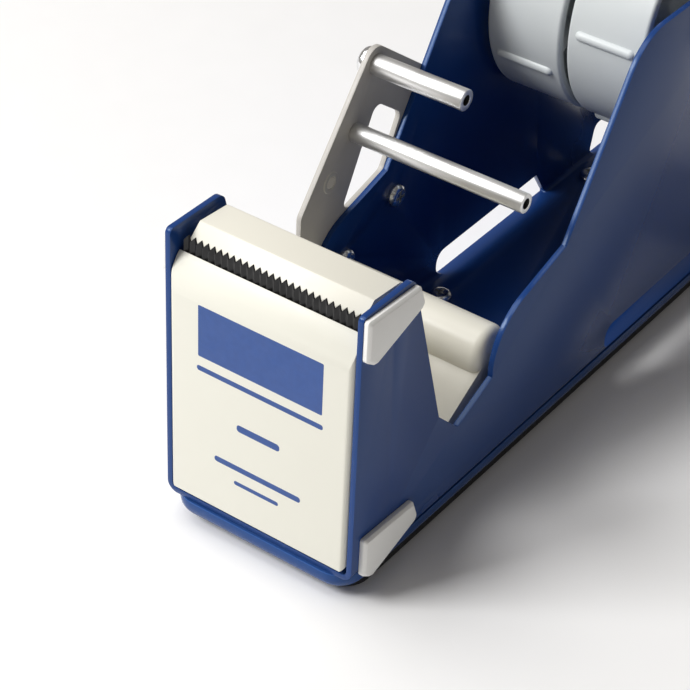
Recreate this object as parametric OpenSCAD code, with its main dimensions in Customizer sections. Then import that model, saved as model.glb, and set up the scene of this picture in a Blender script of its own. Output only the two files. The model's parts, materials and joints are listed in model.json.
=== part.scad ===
// Bench tape dispenser for two-inch tape: a folded steel channel on a weighted tray, with a
// moulded tearing block at the front and a lift-out hub for three-inch cores at the back.
// Millimetres. +X is right, +Y runs back from the tearing edge, +Z is up, and the origin is
// the centre of the face that it stands on. Distances "from the front" start at the front
// edge of the channel, and heights start at the bench.

/* [Channel] */
// Clear width between the side walls
inner_w = 58; // [54:0.5:72]
// Length of the channel
frame_l = 242; // [232:1:300]
// Sheet thickness of the channel
sheet_t = 1.6; // [1.2:0.1:2]
// Inside radius of the folds
bend_r = 1.6; // [1:0.1:3]
// Height of the front tower's top
tower_h = 93.2; // [92:0.2:112]
// Length of the tower's top
tower_l = 21.5; // [20:0.5:26]
// Height of the hump that carries the hub
hump_h = 113.6; // [108:0.5:136]
// Length of the low slot beside the floor
slot_l = 60; // [40:1:62]

/* [Base] */
// Thickness of the foam under the tray
foam_t = 2.8; // [1.5:0.1:5]
// Sheet thickness of the tray
tray_t = 1.2; // [0.8:0.1:1.6]
// Thickness of the ballast plate
ballast_t = 4.4; // [3:0.1:8]

/* [Tearing block] */
// Width of the block and of the guide behind it
block_w = 54; // [46:0.5:54]
// Wall thickness of the mouldings
mould_t = 2.6; // [2:0.1:3.5]
// Distance that the front cover stands proud of the channel
cover_proud = 1; // [0.5:0.1:2]
// Width of the blade
blade_w = 55; // [44:0.5:57]
// Number of teeth on the blade
teeth = 27; // [15:1:35]
// Radius of the guide roll
roll_r = 7.6; // [6:0.1:9]

/* [Side plate and posts] */
// Thickness of the side plate
plate_t = 1.6; // [1.2:0.1:4]
// Outside diameter of the short upper post
upper_d = 6.2; // [5:0.1:8]
// Reach of the upper post from the outside of the wall
upper_l = 29.7; // [20:0.1:50]
// Outside diameter of the long lower post
lower_d = 5.6; // [5:0.1:8]
// Reach of the lower post from the outside of the wall
lower_l = 56; // [30:0.1:57]
// Bore of both posts
post_bore = 3; // [2.4:0.1:3.6]

/* [Hub] */
// Outside radius of a drum, without its ribs
drum_r = 37.2; // [32:0.1:38.5]
// Width of one drum
drum_w = 24.2; // [20:0.1:24.6]
// Gap between the two drums
drum_gap = 2.4; // [1:0.1:3]
// Height of the ribs above the drum
rib_h = 1.1; // [0.4:0.1:1.2]
// Number of ribs on a drum
ribs = 6; // [3:1:10]
// Diameter of the axle
axle_d = 8; // [6:0.1:10]
// Distance that the drums sit left of the middle
hub_shift = 1; // [0:0.1:1.2]

/* [Hidden] */
$fn = 64;

steel_blue = [0.09, 0.18, 0.42];
cream = [0.87, 0.85, 0.78];
grey_plate = [0.42, 0.41, 0.39];
drum_grey = [0.66, 0.69, 0.71];
bright_steel = [0.75, 0.76, 0.78];
black = [0.06, 0.06, 0.07];

fit_gap = 0.3;          // between pieces that are assembled side by side
shaft_gap = 0.06;       // radial gap of a shaft or pin in its hole
hair_gap = 0.1;         // between faces that nearly touch
over = 1;               // overshoot of a cutting solid

// Heights of the layers, from the bench up
tray_z = foam_t;
ballast_z = tray_z + tray_t;
channel_z = ballast_z + ballast_t;
floor_z = channel_z + sheet_t;
tray_top = channel_z - hair_gap;

outer_w = inner_w + 2 * sheet_t;
wall_x = outer_w / 2;
inner_x = inner_w / 2;
front_y = -frame_l / 2;

// Side outline of the channel, as corners [from the front, height, corner radius]
notch_front = [37, 40.5];
notch_back = [46.8, 31];
step = [62.6, 38];
step_corner = [61.2, 53.1];
kink = [95.8, 63];
hump_angle = 58;
hump_front = kink[0] + (hump_h - kink[1]) / tan(hump_angle);
rear_angle = 75;
rear_shoulder = 70;
hump_back = frame_l - (hump_h - rear_shoulder) / tan(rear_angle);

// The hub rests where the hump is highest
hub_y = 175.8;
hub_z = hump_h - 16.3;
axle_r = axle_d / 2;
seat_r = axle_r + shaft_gap;

// Low openings beside the floor
slot_y = 125;
slot_h = 9;
rear_slot_y = 213.5;
rear_slot_l = 17;
rear_slot_h = 11;

// Front cover
cover_w = inner_w - 2 * fit_gap;
cover_low = floor_z + 1;
cover_top = tower_h - 7.4;
cover_crown_r = 14.3;
cover_lean = 46;
cover_back = cover_crown_r * (1 - cos(cover_lean)) - cover_proud;
cover_depth = 9;
cover_shoulder = cover_top - 12.3;
cover_crown = [cover_crown_r - cover_proud, cover_top - cover_crown_r * sin(cover_lean)];

// Blade, upright between the cover and the block
blade_t = 0.6;
blade_wave = 0.35;
blade_y = cover_back + hair_gap + blade_wave + blade_t / 2;
blade_top = tower_h - 2.7;
blade_h = 15.2;
blade_pitch = blade_w / teeth;
tooth_h = 1.3;
blade_hole_x = 18;
blade_hole_z = blade_top - 13.1;
blade_screw_r = 1.2;
blade_screw_l = 6;
blade_head_r = 2.4;
blade_head_h = 1.2;

// Platform block
block_front = blade_y + blade_wave + blade_t / 2 + hair_gap;
block_body = cover_depth + fit_gap;
block_shelf = cover_shoulder + fit_gap;
facet = [9.4, tower_h - 1.2];
block_rear = [21, tower_h - 2];
block_foot = notch_front[0] - 2.2;
boss_r = 4;
boss_hole_r = 1.3;
mould_screw_r = boss_hole_r - shaft_gap;
block_boss = [17, 23];

// Guide behind the block: a ramp that ends in a roll
ramp_front = block_foot + fit_gap;
ramp_low = 21.5;
roll_at = [67.8, 41.5];
roll_end_r = 2.5;
ramp_top = [roll_at[0] - roll_r * 0.84, roll_at[1] - roll_r * 0.53];
guide_w = block_w - 1;
guide_boss = [17, 50];

// Corner clips on the outside of the walls, and their pegs
clip_t = 2;
clip_bevel = 0.8;
clip_corners = [[0, 0, 0.8], [0, -12, 1.5], [3.6, -14.6, 1.2], [24.5, -7.7, 1.6], [22, -1, 1.6]];
clip_upper_at = [0.2, tower_h - 0.7];
clip_lower_at = [3.2, 21.4];
peg_r = 1.5;
peg_at = [13, -4.5];

// Side plate and its fastenings, as corners [from the front, height, corner radius]
plate_x = -wall_x;
plate_corners = [
    [57.2, 37.5, 5], [57.2, 65.7, 3], [88.8, 106.9, 5], [119.4, 84.5, 5], [110.8, 37.5, 6]
];
window_corners = [[75.6, 57.4, 2], [90.8, 87.2, 3], [103.4, 78, 2.5], [95.5, 62.6, 3]];
plate_holes = [[99.8, 52.8], [76, 43]];
ring_at = [70.5, 71];
ring_r = 3.2;
ring_h = 0.3;
upper_at = [89.7, 99.7];
lower_at = [80.9, 82.3];
post_screw_r = post_bore / 2 - shaft_gap;
post_head_r = 4.4;
post_head_h = 2.8;
post_screw_l = 12;
plate_screw_r = 1.9;
plate_head_r = 3.6;
plate_head_h = 2.2;
nut_r = 3.7;
nut_h = 2.4;

// Screws through the floor
floor_screw_at = [[-22, 117.4], [22, 117.4], [-22, 203], [22, 203]];
floor_screw_r = 1.8;
floor_head_r = 3.5;
floor_head_h = 2;
spare_hole = [1.4, 124];
spare_hole_r = 2.6;
mould_head_r = 2.8;
mould_head_h = 1.6;
mould_screw_l = 9;

// Hub
rim_t = 2.8;
rim_round = 1;
web_t = 2.4;
web_hole_r = 7;
web_hole_at = 22.5;
web_holes = 5;
hub_boss_r = 11;
rib_r = 1.6;
rib_l = drum_w - 5;
left_rib_turn = 202;
right_rib_turn = 176.5;
left_drum_x = -hub_shift - drum_gap / 2 - drum_w;
right_drum_x = -hub_shift + drum_gap / 2;
spacer_r = 9;
cap_r = 8;
cap_l = 5;
cap_gap = 0.5;
axle_x = wall_x + cap_gap + cap_l + 0.6;

// Unit vector along v
function unit(v) = v / norm(v);

// Points of one rounded corner q between its neighbours p and s
function rounded_corner(p, q, s, r, n = 8) =
    let (
        a = unit([p[0] - q[0], p[1] - q[1]]),
        b = unit([s[0] - q[0], s[1] - q[1]]),
        half = acos(a * b) / 2,
        centre = [q[0], q[1]] + unit(a + b) * r / sin(half),
        from = [q[0], q[1]] + a * r / tan(half) - centre,
        to = [q[0], q[1]] + b * r / tan(half) - centre,
        start = atan2(from[1], from[0]),
        turn = atan2(to[1], to[0]) - start,
        sweep = turn > 180 ? turn - 360 : (turn < -180 ? turn + 360 : turn)
    )
    [for (i = [0 : n]) centre + r * [cos(start + sweep * i / n), sin(start + sweep * i / n)]];

// Convex corners [x, y, corner radius] with every edge moved inwards by d
function drawn_in(c, d) = [
    for (i = [0 : len(c) - 1])
        let (
            p = c[(i + len(c) - 1) % len(c)],
            q = c[i],
            s = c[(i + 1) % len(c)],
            a = unit([p[0] - q[0], p[1] - q[1]]),
            b = unit([s[0] - q[0], s[1] - q[1]]),
            reach = d / sin(acos(a * b) / 2),
            way = unit(a + b)
        )
        [q[0] + way[0] * reach, q[1] + way[1] * reach, q[2]]
];

// Outline through corners [x, y, corner radius]
function outline(c) = [
    for (i = [0 : len(c) - 1])
        for (p = c[i][2] > 0
            ? rounded_corner(c[(i + len(c) - 1) % len(c)], c[i], c[(i + 1) % len(c)], c[i][2])
            : [[c[i][0], c[i][1]]]) p
];

// Moves what is measured from the front of the channel to its place
module from_front() {
    translate([0, front_y, 0]) children();
}

// Both sides of the object
module both_sides() {
    children();
    mirror([1, 0, 0]) children();
}

// Extrudes an outline in Y and Z along X
module side_prism(corners, x0, x1) {
    translate([x0, 0, 0])
        rotate([90, 0, 90])
            linear_extrude(x1 - x0) polygon(outline(corners));
}

// Extrudes an outline in X and Z along Y
module front_prism(corners, y0, y1) {
    translate([0, y1, 0])
        rotate([90, 0, 0])
            linear_extrude(y1 - y0) polygon(outline(corners));
}

// Extrudes an outline in X and Y along Z
module plan_prism(corners, z0, z1) {
    translate([0, 0, z0])
        linear_extrude(z1 - z0) polygon(outline(corners));
}

// Round bar along X at [from the front, height]
module x_bar(r, x0, x1, at) {
    translate([x0, at[0], at[1]])
        rotate([0, 90, 0])
            cylinder(r = r, h = x1 - x0);
}

// Four corners of a rectangle with one radius
function rectangle(x0, y0, x1, y1, r = 0) = [[x0, y0, r], [x1, y0, r], [x1, y1, r], [x0, y1, r]];

// Pan-head screw with a cross recess: the head stands on z = 0 and the shank hangs below it
module pan_screw(head_r, head_h, shank_r, shank_l) {
    slot_w = head_r * 0.26;
    slot_reach = head_r * 1.05;
    difference() {
        rotate_extrude()
            polygon(outline([[0, 0, 0], [head_r, 0, 0], [head_r, head_h, head_h * 0.75], [0, head_h, 0]]));
        for (turn = [0, 90])
            rotate([0, 0, turn])
                translate([-slot_reach / 2, -slot_w / 2, head_h * 0.45])
                    cube([slot_reach, slot_w, head_h]);
    }
    translate([0, 0, -shank_l]) cylinder(r = shank_r, h = shank_l);
}

// ---- Channel ----

side_corners = [
    [0, channel_z, 0],
    [frame_l, channel_z, 0],
    [frame_l, rear_shoulder, 20],
    [hump_back, hump_h, 20],
    [hump_front, hump_h, 18],
    [kink[0], kink[1], 0],
    [step_corner[0], step_corner[1], 18],
    [step[0], step[1], 0],
    [notch_back[0], notch_back[1], 0.8],
    [notch_front[0], notch_front[1], 0.8],
    [tower_l, tower_h, 3],
    [0, tower_h, 1.5]
];

fold_corners = [
    [-wall_x, hump_h + over, 0],
    [-wall_x, channel_z, bend_r + sheet_t],
    [wall_x, channel_z, bend_r + sheet_t],
    [wall_x, hump_h + over, 0],
    [inner_x, hump_h + over, 0],
    [inner_x, floor_z, bend_r],
    [-inner_x, floor_z, bend_r],
    [-inner_x, hump_h + over, 0]
];

slot_corners = [
    [slot_y, floor_z, 3.5],
    [slot_y + slot_l + 1.5, floor_z, 0.5],
    [slot_y + slot_l - 4.5, floor_z + slot_h, 0.5],
    [slot_y, floor_z + slot_h - 0.5, 4]
];

rear_slot_corners = [
    [rear_slot_y, floor_z, 2.5],
    [rear_slot_y + rear_slot_l, floor_z, 2.5],
    [rear_slot_y + rear_slot_l, floor_z + rear_slot_h, 3],
    [rear_slot_y + 2.5, floor_z + rear_slot_h, 3]
];

module frame_channel() {
    cut_x = bend_r + sheet_t;
    color(steel_blue)
        from_front()
            difference() {
                intersection() {
                    front_prism(fold_corners, 0, frame_l);
                    side_prism(side_corners, -wall_x - over, wall_x + over);
                }
                both_sides() {
                    side_prism(slot_corners, wall_x - cut_x, wall_x + over);
                    side_prism(rear_slot_corners, wall_x - cut_x, wall_x + over);
                    // open seat for the axle
                    x_bar(seat_r, inner_x - over, wall_x + over, [hub_y, hub_z]);
                    translate([inner_x - over, hub_y - seat_r, hub_z])
                        cube([sheet_t + 2 * over, 2 * seat_r, hump_h]);
                    // peg holes of the corner clips
                    for (at = [clip_upper_at, clip_lower_at])
                        x_bar(peg_r + shaft_gap, inner_x - over, wall_x + over, at + peg_at);
                }
                for (at = plate_holes)
                    x_bar(plate_screw_r + shaft_gap, -wall_x - over, -inner_x + over, at);
                for (at = floor_screw_at)
                    translate([at[0], at[1], channel_z - over])
                        cylinder(r = floor_screw_r + shaft_gap, h = sheet_t + 2 * over);
                translate([spare_hole[0], spare_hole[1], channel_z - over])
                    cylinder(r = spare_hole_r, h = sheet_t + 2 * over);
                for (at = [block_boss, guide_boss])
                    for (side = [-1, 1])
                        translate([side * at[0], at[1], channel_z - over])
                            cylinder(r = mould_screw_r + shaft_gap, h = sheet_t + 2 * over);
            }
}

// ---- Base ----

tray_front = -0.8;
tray_back = frame_l + 0.4;
tray_x = wall_x - 0.8;
tray_corner_r = 8;
tray_edge_r = 3.5;

// Plan of the tray, drawn in by the given inset
function tray_plan(inset) =
    rectangle(
        -tray_x + inset, tray_front + inset,
        tray_x - inset, tray_back - inset, tray_corner_r - inset
    );

// Solid in the tray's plan, drawn in by the given inset, with a rolled bottom edge
module tray_form(inset, z0, z1) {
    edge_r = tray_edge_r - inset;
    steps = 5;
    hull() {
        plan_prism(tray_plan(inset), z0 + edge_r, z1);
        for (i = [1 : steps])
            plan_prism(
                tray_plan(inset + edge_r * (1 - cos(i * 90 / steps))),
                z0 + edge_r * (1 - sin(i * 90 / steps)), z0 + edge_r + hair_gap
            );
    }
}

module base_tray() {
    color(steel_blue)
        from_front()
            difference() {
                tray_form(0, tray_z, tray_top);
                tray_form(tray_t, ballast_z, tray_top + over);
            }
}

module ballast_plate() {
    color([0.3, 0.3, 0.31])
        from_front()
            difference() {
                plan_prism(tray_plan(tray_edge_r), ballast_z, channel_z);
                for (at = floor_screw_at)
                    translate([at[0], at[1], ballast_z - over])
                        cylinder(r = floor_screw_r + shaft_gap, h = ballast_t + 2 * over);
                for (at = [block_boss, guide_boss])
                    for (side = [-1, 1])
                        translate([side * at[0], at[1], ballast_z - over])
                            cylinder(r = mould_head_r + 0.4, h = ballast_t + 2 * over);
            }
}

module foam_pad() {
    side_inset = 2.6;
    end_inset = 4;
    color(black)
        from_front()
            plan_prism(
                rectangle(
                    -wall_x + side_inset, end_inset,
                    wall_x - side_inset, frame_l - end_inset, tray_corner_r
                ),
                0, foam_t
            );
}

// ---- Tearing block ----

// Corner of the cover's crown where its radius is r: the crown's arcs share one centre
function crown_corner(r) =
    [cover_crown[0] - r, cover_crown[1] + r * tan(cover_lean / 2), r];

// Point where the crown's arc of radius r ends
function crown_end(r) =
    [cover_crown[0] - r * cos(cover_lean), cover_crown[1] + r * sin(cover_lean), 0];

module front_cover() {
    skin_r = cover_crown_r - mould_t;
    cavity_x = cover_w / 2 - mould_t;
    color(cream)
        from_front()
            difference() {
                intersection() {
                    side_prism(
                        [
                            [-cover_proud, cover_low, 0.8],
                            crown_corner(cover_crown_r),
                            crown_end(cover_crown_r),
                            [cover_back, cover_shoulder, 0],
                            [cover_depth, cover_shoulder, 1],
                            [cover_depth, cover_low, 1]
                        ],
                        -cover_w / 2, cover_w / 2
                    );
                    front_prism(
                        rectangle(-cover_w / 2, cover_low, cover_w / 2, tower_h, 2.8),
                        -cover_proud - over, cover_depth + over
                    );
                    plan_prism(
                        rectangle(-cover_w / 2, -cover_proud, cover_w / 2, 2 * cover_depth, 1.6),
                        cover_low - over, tower_h + over
                    );
                }
                side_prism(
                    [
                        [mould_t - cover_proud, cover_low + mould_t, 1],
                        crown_corner(skin_r),
                        crown_end(skin_r),
                        [cover_depth + over, crown_end(skin_r)[1], 0],
                        [cover_depth + over, cover_low + mould_t, 0]
                    ],
                    -cavity_x, cavity_x
                );
            }
}

module blade() {
    half = blade_w / 2;
    wave = [
        for (i = [0 : 2 * teeth])
            [-half + i * blade_pitch / 2, (i % 2 == 0 ? -1 : 1) * blade_wave]
    ];
    strip = concat(
        [for (p = wave) [p[0], blade_y + p[1] - blade_t / 2]],
        [for (i = [len(wave) - 1 : -1 : 0]) [wave[i][0], blade_y + wave[i][1] + blade_t / 2]]
    );
    comb = concat(
        [[half, blade_top - blade_h], [-half, blade_top - blade_h]],
        [
            for (i = [0 : 2 * teeth])
                [-half + i * blade_pitch / 2, blade_top - (i % 2 == 0 ? tooth_h : 0)]
        ]
    );
    color(black)
        from_front()
            difference() {
                intersection() {
                    translate([0, 0, blade_top - blade_h - over])
                        linear_extrude(blade_h + 2 * over) polygon(strip);
                    translate([0, blade_y + 2, 0])
                        rotate([90, 0, 0])
                            linear_extrude(4) polygon(comb);
                }
                for (side = [-1, 1])
                    translate([side * blade_hole_x, blade_y - 2, blade_hole_z])
                        rotate([-90, 0, 0])
                            cylinder(r = blade_screw_r + shaft_gap, h = 4);
            }
}

module blade_screws() {
    seat_y = blade_y - blade_wave - blade_t / 2 - shaft_gap;
    color(bright_steel)
        from_front()
            for (side = [-1, 1])
                translate([side * blade_hole_x, seat_y, blade_hole_z])
                    rotate([90, 0, 0])
                        pan_screw(blade_head_r, blade_head_h, blade_screw_r, blade_screw_l);
}

// Hollow with one outline inside another, open underneath
module platform_block() {
    inside = [
        [block_front + mould_t, block_shelf + mould_t, 0],
        [block_front + mould_t, facet[1] - 5.6, 0.5],
        [facet[0] + 1, facet[1] - mould_t, 0.5],
        [block_rear[0] - mould_t * 0.8, block_rear[1] - mould_t, 0.5],
        [block_foot - mould_t, notch_front[1] + 3, 0],
        [block_foot - mould_t, floor_z - over, 0],
        [block_body + mould_t, floor_z - over, 0],
        [block_body + mould_t, block_shelf + mould_t, 0]
    ];
    color(cream)
        from_front()
            difference() {
                union() {
                    difference() {
                        side_prism(
                            [
                                [block_front, block_shelf, 0],
                                [block_front, facet[1] - 4, 0.4],
                                [facet[0], facet[1], 0.6],
                                [block_rear[0], block_rear[1], 1.5],
                                [block_foot, notch_front[1] + 5, 0],
                                [block_foot, floor_z, 0],
                                [block_body, floor_z, 0],
                                [block_body, block_shelf, 0]
                            ],
                            -block_w / 2, block_w / 2
                        );
                        side_prism(inside, -block_w / 2 + mould_t, block_w / 2 - mould_t);
                    }
                    for (side = [-1, 1])
                        translate([side * block_boss[0], block_boss[1], floor_z])
                            cylinder(r = boss_r, h = notch_front[1]);
                    // ribs that tie the bosses to the front and back walls
                    for (side = [-1, 1])
                        translate([side * block_boss[0] - 1, block_body + 1, floor_z])
                            cube([2, block_foot - block_body - 2, notch_front[1] - floor_z]);
                }
                for (side = [-1, 1])
                    translate([side * block_boss[0], block_boss[1], floor_z - over])
                        cylinder(r = boss_hole_r, h = mould_screw_l + over);
                for (side = [-1, 1])
                    translate([side * blade_hole_x, block_front - over, blade_hole_z])
                        rotate([-90, 0, 0])
                            cylinder(r = blade_screw_r + shaft_gap, h = blade_screw_l + over);
                both_sides()
                    for (at = [clip_upper_at, clip_lower_at])
                        x_bar(peg_r + shaft_gap, block_w / 2 - mould_t - over,
                            block_w / 2 + over, at + peg_at);
            }
}

module rear_guide() {
    half = guide_w / 2;
    color(cream)
        from_front()
            difference() {
                union() {
                    difference() {
                        side_prism(
                            [
                                [ramp_front, floor_z, 0],
                                [ramp_front, ramp_low, 1],
                                [ramp_top[0], ramp_top[1], 0],
                                [roll_at[0], roll_at[1], 0],
                                [roll_at[0] + roll_r - 0.4, roll_at[1], 0],
                                [roll_at[0] + roll_r - 0.4, floor_z, 0]
                            ],
                            -half, half
                        );
                        side_prism(
                            [
                                [ramp_front + mould_t, floor_z - over, 0],
                                [ramp_front + mould_t, ramp_low - 1.2, 0],
                                [roll_at[0] + 3, roll_at[1] - roll_r - 0.4, 0],
                                [roll_at[0] + roll_r - 0.4 - mould_t, roll_at[1] - roll_r - 0.4, 0],
                                [roll_at[0] + roll_r - 0.4 - mould_t, floor_z - over, 0]
                            ],
                            -half + mould_t, half - mould_t
                        );
                    }
                    translate([-half, roll_at[0], roll_at[1]])
                        rotate([0, 90, 0])
                            rotate_extrude()
                                polygon(outline([
                                    [0, 0, 0], [roll_r, 0, roll_end_r],
                                    [roll_r, guide_w, roll_end_r], [0, guide_w, 0]
                                ]));
                    for (side = [-1, 1])
                        translate([side * guide_boss[0], guide_boss[1], floor_z])
                            cylinder(r = boss_r, h = 17);
                }
                for (side = [-1, 1])
                    translate([side * guide_boss[0], guide_boss[1], floor_z - over])
                        cylinder(r = boss_hole_r, h = mould_screw_l + over);
            }
}

// Screws that come up through the floor into the bosses of a moulding
module mould_screws(at) {
    color(bright_steel)
        from_front()
            for (side = [-1, 1])
                translate([side * at[0], at[1], channel_z])
                    mirror([0, 0, 1])
                        pan_screw(mould_head_r, mould_head_h, mould_screw_r,
                            sheet_t + mould_screw_l - 0.5);
}

module block_screws() {
    mould_screws(block_boss);
}

module guide_screws() {
    mould_screws(guide_boss);
}

// Corner clip on the right wall: a tapering plate with bevelled edges and one peg
module corner_clip(at) {
    peg_l = sheet_t + inner_x - block_w / 2 + mould_t - 0.3;
    color(cream)
        from_front()
            translate([wall_x, at[0], at[1]]) {
                hull() {
                    side_prism(clip_corners, 0, clip_t - clip_bevel);
                    side_prism(drawn_in(clip_corners, clip_bevel), 0, clip_t);
                }
                x_bar(peg_r, -peg_l, 0.5, peg_at);
            }
}

module upper_clip_right() {
    corner_clip(clip_upper_at);
}

module lower_clip_right() {
    corner_clip(clip_lower_at);
}

module upper_clip_left() {
    mirror([1, 0, 0]) corner_clip(clip_upper_at);
}

module lower_clip_left() {
    mirror([1, 0, 0]) corner_clip(clip_lower_at);
}

// ---- Side plate and posts ----

module side_plate() {
    color(grey_plate)
        from_front()
            difference() {
                union() {
                    side_prism(plate_corners, plate_x - plate_t, plate_x);
                    x_bar(ring_r, plate_x, plate_x + ring_h, ring_at);
                }
                side_prism(window_corners, plate_x - plate_t - over, plate_x + over);
                x_bar(ring_r * 0.6, plate_x, plate_x + over, ring_at);
                for (at = plate_holes)
                    x_bar(plate_screw_r + shaft_gap, plate_x - plate_t - over, plate_x + over, at);
                for (at = [upper_at, lower_at])
                    x_bar(post_screw_r + shaft_gap, plate_x - plate_t - over, plate_x + over, at);
            }
}

module post(d, reach, at) {
    color(bright_steel)
        from_front()
            difference() {
                x_bar(d / 2, plate_x, plate_x + reach, at);
                x_bar(post_bore / 2, plate_x - over, plate_x + reach + over, at);
            }
}

module upper_post() {
    post(upper_d, upper_l, upper_at);
}

module lower_post() {
    post(lower_d, lower_l, lower_at);
}

module post_screws() {
    color(bright_steel)
        from_front()
            for (at = [upper_at, lower_at])
                translate([plate_x - plate_t, at[0], at[1]])
                    rotate([0, -90, 0])
                        pan_screw(post_head_r, post_head_h, post_screw_r, plate_t + post_screw_l);
}

module plate_screws() {
    color(bright_steel)
        from_front()
            for (at = plate_holes)
                translate([-inner_x, at[0], at[1]])
                    rotate([0, 90, 0])
                        pan_screw(plate_head_r, plate_head_h, plate_screw_r,
                            sheet_t + plate_t + nut_h + 0.6);
}

module plate_nuts() {
    color(bright_steel)
        from_front()
            for (at = plate_holes)
                difference() {
                    translate([plate_x - plate_t - nut_h, at[0], at[1]])
                        rotate([0, 90, 0])
                            cylinder(r = nut_r, h = nut_h, $fn = 6);
                    x_bar(plate_screw_r + shaft_gap, plate_x - plate_t - nut_h - over,
                        plate_x - plate_t + over, at);
                }
}

module floor_screws() {
    color(bright_steel)
        from_front()
            for (at = floor_screw_at)
                translate([at[0], at[1], floor_z])
                    pan_screw(floor_head_r, floor_head_h, floor_screw_r, sheet_t + ballast_t - 0.4);
}

// ---- Hub ----

module hub_axle() {
    color(bright_steel)
        from_front()
            x_bar(axle_r, -axle_x, axle_x, [hub_y, hub_z]);
}

module axle_caps() {
    color(black)
        from_front()
            both_sides()
                difference() {
                    translate([wall_x + cap_gap, hub_y, hub_z])
                        rotate([0, 90, 0])
                            rotate_extrude()
                                polygon(outline([
                                    [0, 0, 0], [cap_r, 0, 0.4], [cap_r, cap_l, 1.6], [0, cap_l, 0]
                                ]));
                    x_bar(axle_r + shaft_gap, wall_x, axle_x + over, [hub_y, hub_z]);
                }
}

// Half section of a drum, [radius, width], turned about the axle
module drum_body() {
    mid = drum_w / 2;
    difference() {
        rotate_extrude()
            polygon(outline([
                [axle_r + shaft_gap, 0, 0],
                [hub_boss_r, 0, 0.5],
                [hub_boss_r, mid - web_t / 2, 0],
                [drum_r - rim_t, mid - web_t / 2, 0],
                [drum_r - rim_t, 0, 0.5],
                [drum_r, 0, rim_round],
                [drum_r, drum_w, rim_round],
                [drum_r - rim_t, drum_w, 0.5],
                [drum_r - rim_t, mid + web_t / 2, 0],
                [hub_boss_r, mid + web_t / 2, 0],
                [hub_boss_r, drum_w, 0.5],
                [axle_r + shaft_gap, drum_w, 0]
            ]));
        for (i = [0 : web_holes - 1])
            rotate([0, 0, i * 360 / web_holes])
                translate([web_hole_at, 0, mid - web_t / 2 - over])
                    cylinder(r = web_hole_r, h = web_t + 2 * over);
    }
}

// Round-ended rib along the drum
module drum_rib() {
    seat = drum_r + rib_h - rib_r;
    reach = rib_l - 2 * rib_r;
    translate([seat, 0, (drum_w - reach) / 2]) {
        cylinder(r = rib_r, h = reach, $fn = 32);
        sphere(r = rib_r, $fn = 32);
        translate([0, 0, reach]) sphere(r = rib_r, $fn = 32);
    }
}

// Drum that starts at x, with its first rib turned from the back towards the top
module drum(x, rib_turn) {
    color(drum_grey)
        from_front()
            translate([x, hub_y, hub_z])
                rotate([90, 0, 90]) {
                    drum_body();
                    for (i = [0 : ribs - 1])
                        rotate([0, 0, rib_turn + i * 360 / ribs]) drum_rib();
                }
}

module left_drum() {
    drum(left_drum_x, left_rib_turn);
}

module right_drum() {
    drum(right_drum_x, right_rib_turn);
}

// Sleeve on the axle from x0 to x1
module axle_sleeve(x0, x1) {
    difference() {
        x_bar(spacer_r, x0, x1, [hub_y, hub_z]);
        x_bar(axle_r + shaft_gap, x0 - over, x1 + over, [hub_y, hub_z]);
    }
}

module drum_spacer() {
    color(black)
        from_front()
            axle_sleeve(left_drum_x + drum_w + hair_gap, right_drum_x - hair_gap);
}

module side_spacers() {
    color(black)
        from_front() {
            axle_sleeve(-inner_x + fit_gap, left_drum_x - hair_gap);
            axle_sleeve(right_drum_x + drum_w + hair_gap, inner_x - fit_gap);
        }
}

frame_channel();
base_tray();
ballast_plate();
foam_pad();
front_cover();
platform_block();
rear_guide();
blade();
blade_screws();
block_screws();
guide_screws();
upper_clip_right();
lower_clip_right();
upper_clip_left();
lower_clip_left();
side_plate();
upper_post();
lower_post();
post_screws();
plate_screws();
plate_nuts();
floor_screws();
hub_axle();
axle_caps();
left_drum();
right_drum();
drum_spacer();
side_spacers();
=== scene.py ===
import json
import math

import bmesh
import bpy
from mathutils import Matrix, Vector


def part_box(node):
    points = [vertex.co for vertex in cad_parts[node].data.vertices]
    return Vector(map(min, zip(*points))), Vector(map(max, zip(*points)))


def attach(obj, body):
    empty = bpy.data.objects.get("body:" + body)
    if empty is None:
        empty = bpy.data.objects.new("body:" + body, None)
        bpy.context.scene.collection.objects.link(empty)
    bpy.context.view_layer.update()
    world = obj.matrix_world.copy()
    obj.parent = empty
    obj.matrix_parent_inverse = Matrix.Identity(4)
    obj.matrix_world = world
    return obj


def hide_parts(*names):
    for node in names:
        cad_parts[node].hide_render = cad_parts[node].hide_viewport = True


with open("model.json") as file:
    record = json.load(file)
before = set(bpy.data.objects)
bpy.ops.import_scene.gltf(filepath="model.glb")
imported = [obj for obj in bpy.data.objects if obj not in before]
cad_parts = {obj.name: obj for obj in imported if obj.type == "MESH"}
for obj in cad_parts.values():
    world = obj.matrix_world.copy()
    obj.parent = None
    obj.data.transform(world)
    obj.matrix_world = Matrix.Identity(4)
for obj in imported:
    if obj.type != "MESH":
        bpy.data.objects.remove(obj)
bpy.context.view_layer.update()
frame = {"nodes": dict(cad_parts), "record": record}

nodes = frame["nodes"]
record = frame["record"]
body_of = {n: b for b, ns in record["behaviour"]["bodies"].items() for n in ns}
slot_of = {s["node"]: s["material_slot"] for s in record["subparts"]}
scene = bpy.context.scene
MM = 0.001

EDGE_SLOT = 1           # material index that marks the faces of a rounded edge
EDGE_SEGMENTS = 2       # segments of a rounded edge
EDGE_ANGLE = 28         # edges sharper than this are rounded, in degrees
SMOOTH_ANGLE = 38       # edges sharper than this stay sharp in shading, in degrees
FLAT_ANGLE = 0.6        # faces that meet at less than this become one, in degrees
WELD_DISTANCE = 2e-6    # vertices nearer than this become one, in metres


# ---------------------------------------------------------------- materials

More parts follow.
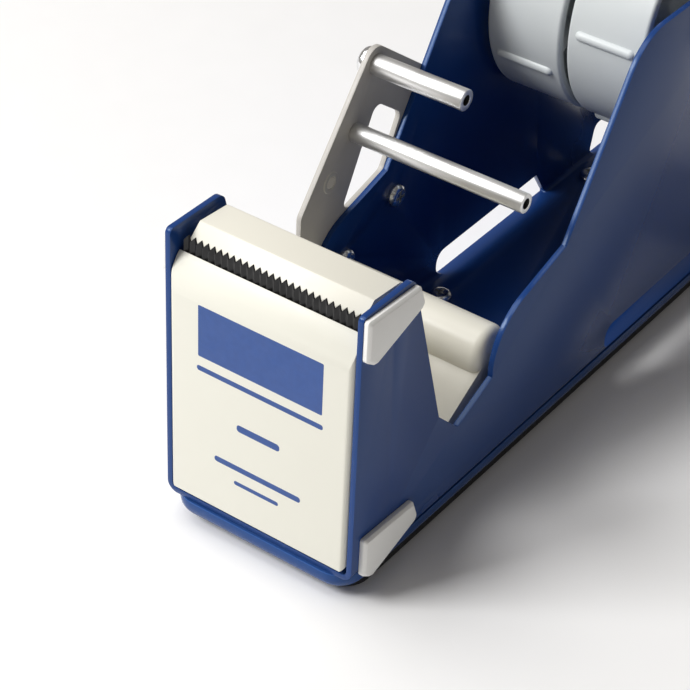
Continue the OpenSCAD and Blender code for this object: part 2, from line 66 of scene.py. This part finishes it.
class Mat:
    """A node material with short helpers for procedural patterns."""

    def __init__(self, name):
        self.mat = bpy.data.materials.new(name)
        self.mat.use_nodes = True
        self.tree = self.mat.node_tree
        self.bsdf = self.tree.nodes["Principled BSDF"]
        self.coord = self.node("ShaderNodeTexCoord").outputs["Object"]

    def node(self, kind, **settings):
        n = self.tree.nodes.new(kind)
        for key, value in settings.items():
            setattr(n, key, value)
        return n

    def link(self, a, b):
        self.tree.links.new(a, b)

    def mapped(self, stretch):
        m = self.node("ShaderNodeMapping")
        m.inputs["Scale"].default_value = stretch
        self.link(self.coord, m.inputs["Vector"])
        return m.outputs["Vector"]

    def noise(self, scale, detail=3.0, rough=0.5, stretch=None):
        n = self.node("ShaderNodeTexNoise")
        n.inputs["Scale"].default_value = scale
        n.inputs["Detail"].default_value = detail
        n.inputs["Roughness"].default_value = rough
        self.link(self.mapped(stretch) if stretch else self.coord, n.inputs["Vector"])
        return n.outputs["Fac"]

    def cells(self, scale):
        n = self.node("ShaderNodeTexVoronoi")
        n.inputs["Scale"].default_value = scale
        self.link(self.coord, n.inputs["Vector"])
        return n.outputs["Distance"]

    def ramp(self, value, low, high, to_low=0.0, to_high=1.0):
        n = self.node("ShaderNodeMapRange", clamp=True)
        n.inputs["From Min"].default_value = low
        n.inputs["From Max"].default_value = high
        n.inputs["To Min"].default_value = to_low
        n.inputs["To Max"].default_value = to_high
        self.link(value, n.inputs["Value"])
        return n.outputs["Result"]

    def math(self, op, a, b):
        n = self.node("ShaderNodeMath", operation=op)
        for socket, value in zip(n.inputs, (a, b)):
            if isinstance(value, (int, float)):
                socket.default_value = value
            else:
                self.link(value, socket)
        return n.outputs["Value"]

    def blend(self, fac, a, b):
        n = self.node("ShaderNodeMix", data_type="RGBA")
        self.link(fac, n.inputs["Factor"])
        for socket, value in ((n.inputs[6], a), (n.inputs[7], b)):
            if isinstance(value, tuple):
                socket.default_value = (*value, 1.0)
            else:
                self.link(value, socket)
        return n.outputs[2]

    def attribute(self, name):
        return self.node("ShaderNodeAttribute", attribute_name=name).outputs["Fac"]

    def bump(self, height, strength, distance, normal=None):
        n = self.node("ShaderNodeBump")
        n.inputs["Strength"].default_value = strength
        n.inputs["Distance"].default_value = distance
        self.link(height, n.inputs["Height"])
        if normal is not None:
            self.link(normal, n.inputs["Normal"])
        return n.outputs["Normal"]

    def finish(self, color, rough, normal=None, **constants):
        self.link(color, self.bsdf.inputs["Base Color"])
        self.link(rough, self.bsdf.inputs["Roughness"])
        if normal is not None:
            self.link(normal, self.bsdf.inputs["Normal"])
        for key, value in constants.items():
            self.bsdf.inputs[key.replace("_", " ")].default_value = value
        return self.mat


def enamel(name, base, light, edge):
    """Gloss enamel over sheet steel: slight orange peel; the lighter blue on the rounded edges is
    partly thinner paint there and partly a painted highlight.
    """
    m = Mat(name)
    tone = m.ramp(m.noise(12, 2), 0.35, 0.7)
    color = m.blend(tone, base, light)
    wear = m.attribute("edge_wear_and_highlight")
    thinner_paint_and_lit_edge = m.math("MULTIPLY", wear, m.ramp(m.noise(160, 4), 0.25, 0.75, 0.35, 1.0))
    # Lighter blue on the rounded edges: partly painted highlight, partly thinner paint.
    color = m.blend(thinner_paint_and_lit_edge, color, edge)
    film = m.ramp(m.noise(40, 3, 0.5), 0.45, 0.8, 0.0, 0.05)
    color = m.blend(film, color, (0.06, 0.09, 0.16))
    rough = m.ramp(m.noise(30, 3, 0.5), 0.3, 0.75, 0.22, 0.28)
    peel = m.bump(m.noise(300, 1, 0.3), 0.03, 0.0003)
    return m.finish(color, rough, peel, Coat_Weight=0.05, Coat_Roughness=0.2,
                    Specular_IOR_Level=0.3, Specular_Tint=(0.62, 0.8, 1.0, 1.0))


def moulded(name, base, shade, rough_low=0.34, rough_high=0.5, grain=1500, bump=0.10):
    """Injection-moulded plastic: fine spark-eroded grain, faint flow marks, rubbed edges."""
    m = Mat(name)
    tone = m.ramp(m.noise(14, 2, 0.4, (1.0, 1.0, 0.5)), 0.25, 0.8)
    color = m.blend(tone, base, shade)
    patchy = m.ramp(m.noise(300, 4), 0.4, 0.8, 0.0, 0.4)
    wear = m.math("MULTIPLY", m.attribute("edge_wear_and_highlight"), patchy)
    lighter = tuple(min(1.0, c * 1.12 + 0.02) for c in base)
    color = m.blend(wear, color, lighter)
    specks = m.ramp(m.noise(1900, 2), 0.72, 0.82, 0.0, 0.10)
    color = m.blend(specks, color, tuple(c * 0.7 for c in base))
    rough = m.ramp(m.noise(120, 5, 0.6), 0.3, 0.75, rough_low, rough_high)
    normal = m.bump(m.noise(grain, 4, 0.6), bump, 0.0002)
    normal = m.bump(m.noise(180, 2), 0.02, 0.0003, normal)
    return m.finish(color, rough, normal, IOR=1.46)


def metal(name, base, shade, rough_low, rough_high, stretch, scale=400, bump=0.12, aniso=0.0):
    """Drawn, brushed or plated metal: streaks along the stretched axis and a mottled tone."""
    m = Mat(name)
    streak = m.noise(scale, 6, 0.65, stretch)
    mottle = m.ramp(m.noise(90, 5), 0.3, 0.75)
    color = m.blend(mottle, base, shade)
    wear = m.math("MULTIPLY", m.attribute("edge_wear_and_highlight"), 0.6)
    color = m.blend(wear, color, tuple(min(1.0, c * 1.2 + 0.05) for c in base))
    rough = m.ramp(streak, 0.3, 0.72, rough_low, rough_high)
    normal = m.bump(streak, bump, 0.0001)
    return m.finish(color, rough, normal, Metallic=1.0, Anisotropic=aniso)


def lacquered(name, base, shade):
    """Warm grey lacquer on sheet: fine grain, faint rolling lines, and pale cream edges as a
    painted highlight, patchy like rubbed lacquer.
    """
    m = Mat(name)
    lines = m.noise(240, 5, 0.6, (1.0, 0.15, 1.0))
    color = m.blend(m.ramp(lines, 0.3, 0.72), base, shade)
    cloud = m.ramp(m.noise(30, 2), 0.35, 0.75, 0.0, 0.2)
    color = m.blend(cloud, color, tuple(c * 0.86 for c in base))
    patchy = m.ramp(m.noise(260, 4), 0.2, 0.6, 0.5, 1.0)
    wear = m.math("MULTIPLY", m.attribute("edge_wear_and_highlight"), patchy)
    # Pale cream on the rounded edges: painted highlight where the edges catch the light, made
    # patchy like rubbed lacquer.
    color = m.blend(wear, color, (0.80, 0.78, 0.70))
    rough = m.ramp(m.noise(150, 5, 0.6), 0.3, 0.75, 0.34, 0.5)
    return m.finish(color, rough, m.bump(lines, 0.10, 0.0002), IOR=1.45)


def bore_shade(name):
    """Inside of a post: near-black metal as painted shade, with rings of drill marks."""
    m = Mat(name)
    rings = m.noise(500, 3, 0.5, (3.0, 1.0, 1.0))
    # Near-black colour: painted shade inside the hole.
    color = m.blend(m.ramp(rings, 0.3, 0.7), (0.02, 0.02, 0.022), (0.05, 0.05, 0.052))
    rough = m.ramp(m.noise(300, 4), 0.3, 0.7, 0.5, 0.7)
    return m.finish(color, rough, m.bump(rings, 0.3, 0.0002), Metallic=0.6)


def foam(name):
    """Closed-cell foam: open surface cells over a matt black body."""
    m = Mat(name)
    cell = m.cells(1100)
    tone = m.ramp(cell, 0.1, 0.6)
    color = m.blend(tone, (0.012, 0.012, 0.013), (0.035, 0.035, 0.037))
    lint = m.ramp(m.noise(700, 4), 0.68, 0.75, 0.0, 0.5)
    color = m.blend(lint, color, (0.12, 0.12, 0.12))
    rough = m.ramp(m.noise(300, 4), 0.3, 0.7, 0.82, 0.97)
    return m.finish(color, rough, m.bump(cell, 0.6, 0.0004))


def oxide(name):
    """Black-oxide blade steel, rubbed bright at the tips of its teeth."""
    m = Mat(name)
    tone = m.ramp(m.noise(260, 5), 0.3, 0.75)
    color = m.blend(tone, (0.014, 0.014, 0.015), (0.03, 0.03, 0.031))
    patchy = m.ramp(m.noise(900, 3), 0.5, 0.8, 0.0, 0.5)
    wear = m.math("MULTIPLY", m.attribute("edge_wear_and_highlight"), patchy)
    color = m.blend(wear, color, (0.10, 0.10, 0.105))
    rough = m.ramp(m.noise(500, 4, 0.6, (1.0, 1.0, 0.2)), 0.3, 0.7, 0.30, 0.44)
    normal = m.bump(m.noise(1500, 3, 0.5, (1, 1, 0.3)), 0.15, 0.0001)
    return m.finish(color, rough, normal, Metallic=0.45)


def ink(name, base):
    """Pad-printed ink: slightly uneven cover, a little raised."""
    m = Mat(name)
    color = m.blend(m.ramp(m.noise(500, 4), 0.3, 0.75), base, tuple(c * 0.86 for c in base))
    pin = m.ramp(m.noise(2600, 2), 0.72, 0.8, 0.0, 0.4)
    color = m.blend(pin, color, tuple(min(1, c * 1.5 + 0.1) for c in base))
    rough = m.ramp(m.noise(240, 4), 0.3, 0.7, 0.36, 0.5)
    return m.finish(color, rough, m.bump(m.noise(1500, 3), 0.08, 0.0002))


# The third colour of each enamel, the brighter blue on rounded edges, is partly a painted
# highlight.
BLUE = enamel("enamel_channel", (0.010, 0.044, 0.185), (0.011, 0.048, 0.2), (0.05, 0.15, 0.46))
BLUE_TRAY = enamel("enamel_tray", (0.014, 0.056, 0.21), (0.016, 0.061, 0.225), (0.05, 0.15, 0.46))
COVER = moulded("plastic_cover", (0.77, 0.758, 0.675), (0.755, 0.743, 0.66), bump=0.04)
BLOCK = moulded("plastic_block", (0.81, 0.785, 0.69), (0.795, 0.77, 0.675), 0.32, 0.42, bump=0.04)
CLIP = moulded("plastic_clip", (0.92, 0.915, 0.89), (0.90, 0.895, 0.87), 0.38, 0.5, bump=0.04)
DRUM = moulded("plastic_drum", (0.66, 0.695, 0.70), (0.63, 0.665, 0.672), 0.34, 0.46, 1200, 0.06)
CAP = moulded("plastic_cap", (0.022, 0.022, 0.024), (0.03, 0.03, 0.032), 0.42, 0.6, 1300, 0.2)
SPACER = moulded("plastic_spacer", (0.03, 0.03, 0.033), (0.04, 0.04, 0.043), 0.4, 0.55)
# The plate's warm grey is darker than its cream edges: painted shade on a face that sits in shade.
PLATE = lacquered("lacquered_sheet", (0.50, 0.48, 0.45), (0.47, 0.45, 0.42))
POST = metal("drawn_aluminium", (0.86, 0.86, 0.85), (0.80, 0.80, 0.795), 0.34, 0.46,
             (0.04, 1.0, 1.0), 900, 0.05, 0.3)
# Near-black material for the insides of the posts: painted shade.
BORE_SHADE = bore_shade("post_bore")
SPOT = lacquered("weld_spot", (0.74, 0.70, 0.62), (0.68, 0.64, 0.56))
SCREW = metal("zinc_screw", (0.80, 0.81, 0.82), (0.68, 0.69, 0.70), 0.14, 0.28,
              (1.0, 1.0, 1.0), 700, 0.05)
AXLE = metal("turned_axle", (0.60, 0.61, 0.62), (0.5, 0.51, 0.52), 0.18, 0.34,
             (1.0, 0.08, 0.08), 900)
BALLAST = metal("ballast_plate", (0.22, 0.22, 0.225), (0.13, 0.125, 0.12), 0.5, 0.75,
                (1.0, 0.3, 1.0))
FOAM = foam("foam")
BLADE = oxide("oxide_blade")
INK = ink("ink_blue", (0.02, 0.075, 0.29))

finishes = {
    "channel_paint": BLUE, "tray_paint": BLUE_TRAY, "ballast": BALLAST, "foam": FOAM,
    "cover_plastic": COVER, "block_plastic": BLOCK, "guide_plastic": BLOCK, "clip_plastic": CLIP,
    "blade_steel": BLADE, "screw_steel": SCREW, "plate_finish": PLATE, "post_metal": POST,
    "axle_steel": AXLE, "cap_plastic": CAP, "spacer_plastic": SPACER, "drum_plastic": DRUM,
}


# ---------------------------------------------------------------- meshes

def mark_edges(mesh):
    """Writes edge_wear_and_highlight: 1 at vertices inside a rounded edge, 0 at those of flat faces."""
    bm = bmesh.new()
    bm.from_mesh(mesh)
    values = [float(all(f.material_index == EDGE_SLOT for f in v.link_faces)) for v in bm.verts]
    for f in bm.faces:
        f.material_index = 0
    bm.to_mesh(mesh)
    bm.free()
    a = mesh.attributes.new("edge_wear_and_highlight", "FLOAT", "POINT")
    a.data.foreach_set("value", values)


def smooth_by_angle(ob, degrees):
    for p in ob.data.polygons:
        p.use_smooth = True
    bm = bmesh.new()
    bm.from_mesh(ob.data)
    limit = math.radians(degrees)
    for e in bm.edges:
        e.smooth = not (len(e.link_faces) == 2 and e.calc_face_angle(0.0) > limit)
    bm.to_mesh(ob.data)
    bm.free()


def put(name, mesh, body, material):
    ob = bpy.data.objects.new(name, mesh)
    scene.collection.objects.link(ob)
    mesh.materials.clear()
    mesh.materials.append(material)
    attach(ob, body)


def refined(node, width):
    """Stands for a CAD node with the same shape and its sharp edges broken by a small round."""
    source = nodes[node]
    mesh = source.data.copy()
    mesh.name = node + "_skin"
    bm = bmesh.new()
    bm.from_mesh(mesh)
    bmesh.ops.remove_doubles(bm, verts=bm.verts, dist=WELD_DISTANCE)
    bmesh.ops.dissolve_limit(bm, angle_limit=math.radians(FLAT_ANGLE), verts=bm.verts,
                             edges=bm.edges, use_dissolve_boundaries=False)
    bmesh.ops.recalc_face_normals(bm, faces=bm.faces)
    bm.to_mesh(mesh)
    bm.free()
    for name in ("custom_normal", "sharp_face", "sharp_edge"):
        if name in mesh.attributes:
            mesh.attributes.remove(mesh.attributes[name])
    mesh.materials.clear()
    for _ in (0, EDGE_SLOT):
        mesh.materials.append(finishes[slot_of[node]])
    for face in mesh.polygons:
        face.material_index = 0
    ob = bpy.data.objects.new(node + "_skin", mesh)
    scene.collection.objects.link(ob)
    bevel = ob.modifiers.new("round", "BEVEL")
    bevel.material = EDGE_SLOT
    bevel.width = width
    bevel.segments = EDGE_SEGMENTS
    bevel.limit_method = "ANGLE"
    bevel.angle_limit = math.radians(EDGE_ANGLE)
    bevel.miter_outer = "MITER_ARC"
    bevel.use_clamp_overlap = True
    depsgraph = bpy.context.evaluated_depsgraph_get()
    done = bpy.data.meshes.new_from_object(ob.evaluated_get(depsgraph))
    ob.modifiers.clear()
    ob.data = done
    bpy.data.meshes.remove(mesh)
    mark_edges(ob.data)
    smooth_by_angle(ob, SMOOTH_ANGLE)
    ob.data.materials.clear()
    ob.data.materials.append(finishes[slot_of[node]])
    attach(ob, body_of[node])
    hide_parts(node)
    return ob


# Width of the round on the edges of each node that gets a skin, in mm
widths = {
    "frame_channel": 0.25, "base_tray": 0.2, "foam_pad": 0.3, "front_cover": 0.3,
    "platform_block": 0.9, "rear_guide": 0.5, "side_plate": 0.22, "upper_post": 0.2,
    "lower_post": 0.2, "upper_clip_right": 0.15, "lower_clip_right": 0.15,
    "upper_clip_left": 0.15, "lower_clip_left": 0.15, "axle_caps": 0.12,
    "plate_nuts": 0.12, "blade": 0.07, "hub_axle": 0.4, "drum_spacer": 0.1, "side_spacers": 0.1,
}
skins = {node: refined(node, width * MM) for node, width in widths.items()}


def darken_bore(node):
    """Gives the inside of a post its near-black painted-shade material."""
    low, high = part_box(node)
    axis_y, axis_z = (low.y + high.y) / 2, (low.z + high.z) / 2
    mesh = skins[node].data
    mesh.materials.append(BORE_SHADE)
    for face in mesh.polygons:
        inward = Vector((face.center.y - axis_y, face.center.z - axis_z))
        facing = Vector((face.normal.y, face.normal.z))
        if abs(face.normal.x) < 0.5 and inward.dot(facing) < 0:
            face.material_index = 1


darken_bore("upper_post")
darken_bore("lower_post")


def weld_spot():
    """The pale centre of the pressed ring on the side plate."""
    from_front, height, sunk = 70.5 * MM, 71 * MM, 0.22 * MM
    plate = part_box("side_plate")[1]
    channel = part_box("frame_channel")[0]
    bm = bmesh.new()
    bmesh.ops.create_cone(bm, cap_ends=True, segments=40,
                          radius1=1.8 * MM, radius2=1.6 * MM, depth=0.2 * MM)
    bm.transform(Matrix.Translation((plate.x - sunk, channel.y + from_front, height))
                 @ Matrix.Rotation(math.radians(90), 4, "Y"))
    mesh = bpy.data.meshes.new("weld_spot")
    bm.to_mesh(mesh)
    bm.free()
    put("weld_spot", mesh, "frame", SPOT)


weld_spot()

for name, ob in nodes.items():
    if name in widths:
        continue
    ob.data.materials.clear()
    ob.data.materials.append(finishes[slot_of[name]])


# ---------------------------------------------------------------- printed panel

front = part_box("front_cover")[0].y
ink_proud = 0.02 * MM
ink_sunk = 0.02 * MM
arc_points = 7
arc_step = 90 / (arc_points - 1)


def printed(name, x0, x1, z0, z1, corner):
    """A printed patch with round corners on the cover's flat face; sizes in mm."""
    bm = bmesh.new()
    ring = []
    for cx, cz, start in ((x1 - corner, z1 - corner, 0), (x0 + corner, z1 - corner, 90),
                          (x0 + corner, z0 + corner, 180), (x1 - corner, z0 + corner, 270)):
        for i in range(arc_points):
            a = math.radians(start + arc_step * i)
            ring.append(((cx + corner * math.cos(a)) * MM, (cz + corner * math.sin(a)) * MM))
    top = [bm.verts.new((x, front - ink_proud, z)) for x, z in ring]
    base = [bm.verts.new((x, front + ink_sunk, z)) for x, z in ring]
    bm.faces.new(top)
    bm.faces.new(base[::-1])
    for i in range(len(ring)):
        j = (i + 1) % len(ring)
        bm.faces.new((top[j], top[i], base[i], base[j]))
    bmesh.ops.recalc_face_normals(bm, faces=bm.faces)
    mesh = bpy.data.meshes.new(name)
    bm.to_mesh(mesh)
    bm.free()
    put(name, mesh, "frame", INK)


printed("panel_block", -19.2, 20.2, 59.4, 75.4, 0.4)
printed("panel_rule_a", -19.6, 20.6, 54.8, 56.4, 0.7)
printed("panel_rule_b", -6.5, 7.3, 41, 43.2, 0.9)
printed("panel_rule_c", -13.7, 14.3, 27.6, 29.4, 0.8)
printed("panel_rule_d", -7.2, 7.3, 22.8, 24.1, 0.6)


# ---------------------------------------------------------------- stage, light, camera

floor_mesh = bpy.data.meshes.new("floor")
reach = 4.0
floor_mesh.from_pydata(
    [(-reach, -reach, 0), (reach, -reach, 0), (reach, reach, 0), (-reach, reach, 0)],
    [], [(0, 1, 2, 3)])
floor = bpy.data.objects.new("floor", floor_mesh)
scene.collection.objects.link(floor)
paper = Mat("paper_floor")
floor_mesh.materials.append(paper.finish(
    paper.blend(paper.ramp(paper.noise(3, 3), 0.3, 0.7), (0.95, 0.945, 0.94), (0.94, 0.935, 0.93)),
    paper.ramp(paper.noise(90, 4), 0.3, 0.7, 0.55, 0.7)))

world = bpy.data.worlds.new("world")
scene.world = world
world.use_nodes = True
# The camera sees a bright backdrop; other rays see a dimmer room that fades to the right
wt = world.node_tree
back = wt.nodes["Background"]
back.inputs["Color"].default_value = (1.0, 0.95, 0.89, 1.0)
path = wt.nodes.new("ShaderNodeLightPath")
coord = wt.nodes.new("ShaderNodeTexCoord")
axes = wt.nodes.new("ShaderNodeSeparateXYZ")
wt.links.new(coord.outputs["Generated"], axes.inputs["Vector"])
room = wt.nodes.new("ShaderNodeMapRange")
room.inputs["From Min"].default_value = -0.35
room.inputs["From Max"].default_value = 0.45
room.inputs["To Min"].default_value = 0.32
room.inputs["To Max"].default_value = 0.14
wt.links.new(axes.outputs["X"], room.inputs["Value"])
level = wt.nodes.new("ShaderNodeMapRange")
level.inputs["To Max"].default_value = 1.0
wt.links.new(room.outputs["Result"], level.inputs["To Min"])
wt.links.new(path.outputs["Is Camera Ray"], level.inputs["Value"])
wt.links.new(level.outputs["Result"], back.inputs["Strength"])


def area(name, at, side, power):
    """A square soft lamp that looks at the middle of the part."""
    data = bpy.data.lights.new(name, "AREA")
    data.shape = "RECTANGLE"
    data.size, data.size_y = side, side
    data.energy = power
    ob = bpy.data.objects.new(name, data)
    scene.collection.objects.link(ob)
    ob.location = at
    ob.rotation_euler = (Vector(lamp_target) - Vector(at)).to_track_quat("-Z", "Y").to_euler()


lamp_target = (0, 0, 0.05)
area("key", (-0.74, -1.0, 1.1), 0.6, 20)
area("overhead", (-0.6, -0.25, 1.5), 0.9, 10)

camera_data = bpy.data.cameras.new("camera")
camera_data.sensor_width = 36.0
camera_data.lens = 125.2
camera_data.clip_start = 0.01
camera = bpy.data.objects.new("camera", camera_data)
scene.collection.objects.link(camera)
right = Vector((0.80561, 0.59137, 0.03571))
up = Vector((-0.37877, 0.46776, 0.79858))
back_axis = Vector((0.45556, -0.65687, 0.60082))
channel_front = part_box("frame_channel")[0].y
eye = Vector((0.2886, channel_front - 0.3794, 0.4303))
camera.matrix_world = Matrix((
    (right.x, up.x, back_axis.x, eye.x),
    (right.y, up.y, back_axis.y, eye.y),
    (right.z, up.z, back_axis.z, eye.z),
    (0, 0, 0, 1),
))
scene.camera = camera

scene.view_settings.view_transform = "Standard"
